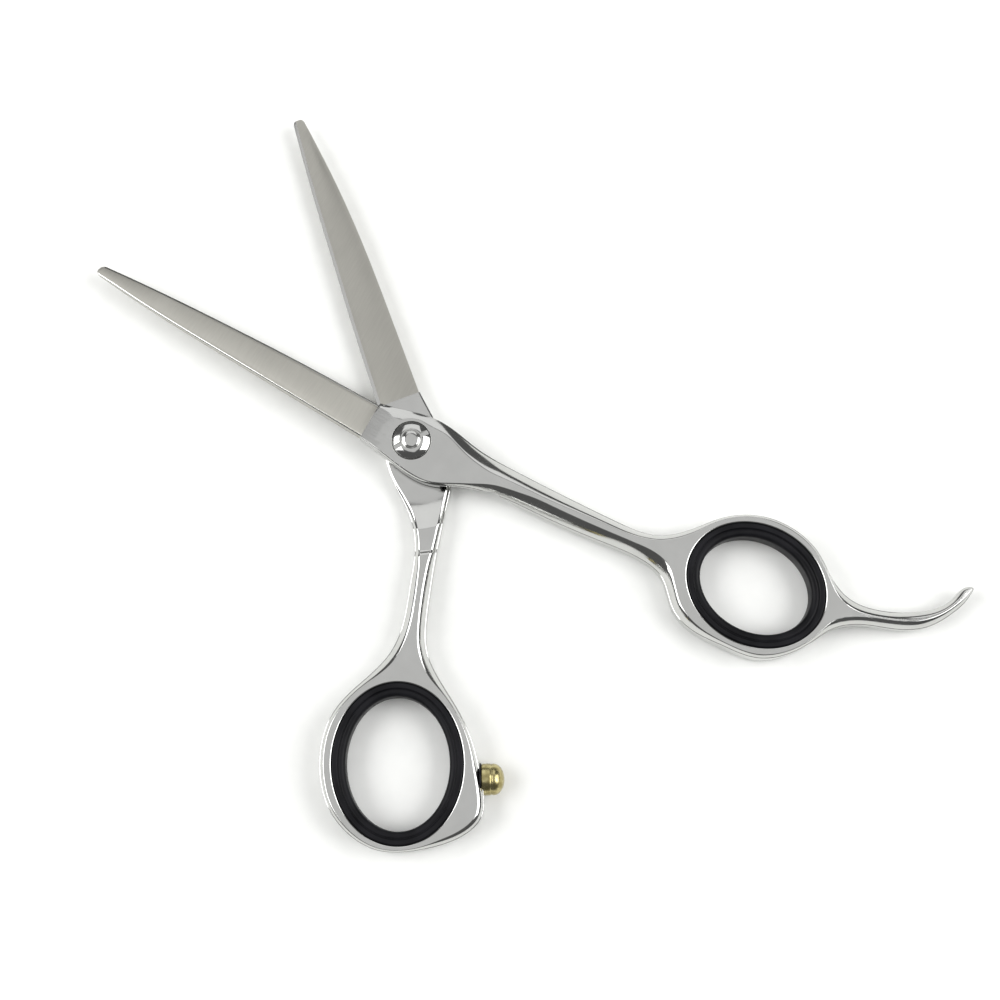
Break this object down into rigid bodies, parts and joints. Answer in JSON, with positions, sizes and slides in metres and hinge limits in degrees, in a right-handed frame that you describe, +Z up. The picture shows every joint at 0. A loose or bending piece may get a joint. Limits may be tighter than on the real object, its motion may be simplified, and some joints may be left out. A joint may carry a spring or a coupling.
{
  "type": "hair cutting shears",
  "caption": "Offset-handle hair cutting shears: crossed levers on a slotted pivot screw, rubber-lined finger rings, curved finger rest and brass stop.",
  "frame": {"origin": "on the pivot axis, on the plane that the shears rest on, at the middle of the pivot nut's flush underside", "axes": "+Z up along the pivot axis towards the screw head; +X along the finger lever from its blade towards its finger ring, so its blade points to -X; the thumb ring lies towards -Y"},
  "size_m": [0.1718, 0.1139, 0.0073],
  "materials": {
    "polished_steel": "stainless steel, mirror-polished handles and hub, satin-ground blades",
    "pivot_steel": "polished stainless steel",
    "spring_steel": "bright spring steel",
    "black_rubber": "semi-gloss black rubber",
    "nylon": "natural nylon",
    "brass": "polished, slightly aged brass"
  },
  "bodies": {
    "finger_half": {"finger_lever": "polished_steel", "finger_ring_insert": "black_rubber", "pivot_bush": "nylon", "glide_washer": "nylon", "spring_washer": "spring_steel"},
    "thumb_half": {"thumb_lever": "polished_steel", "thumb_ring_insert": "black_rubber", "pivot_nut": "pivot_steel", "ride_washer": "nylon", "bumper": "brass", "bumper_washer": "black_rubber"},
    "tension_screw": {"pivot_screw": "pivot_steel"}
  },
  "joints": [
    {"name": "pivot", "type": "hinge", "parent": "finger_half", "child": "thumb_half", "pos_m": [0, 0, 0.0032], "axis": [0, 0, 1], "range_deg": [-75, 39.5]},
    {"name": "tension_turn", "type": "hinge", "parent": "thumb_half", "child": "tension_screw", "pos_m": [0, 0, 0.0032], "axis": [0, 0, 1], "range_deg": [-90, 90]}
  ]
}
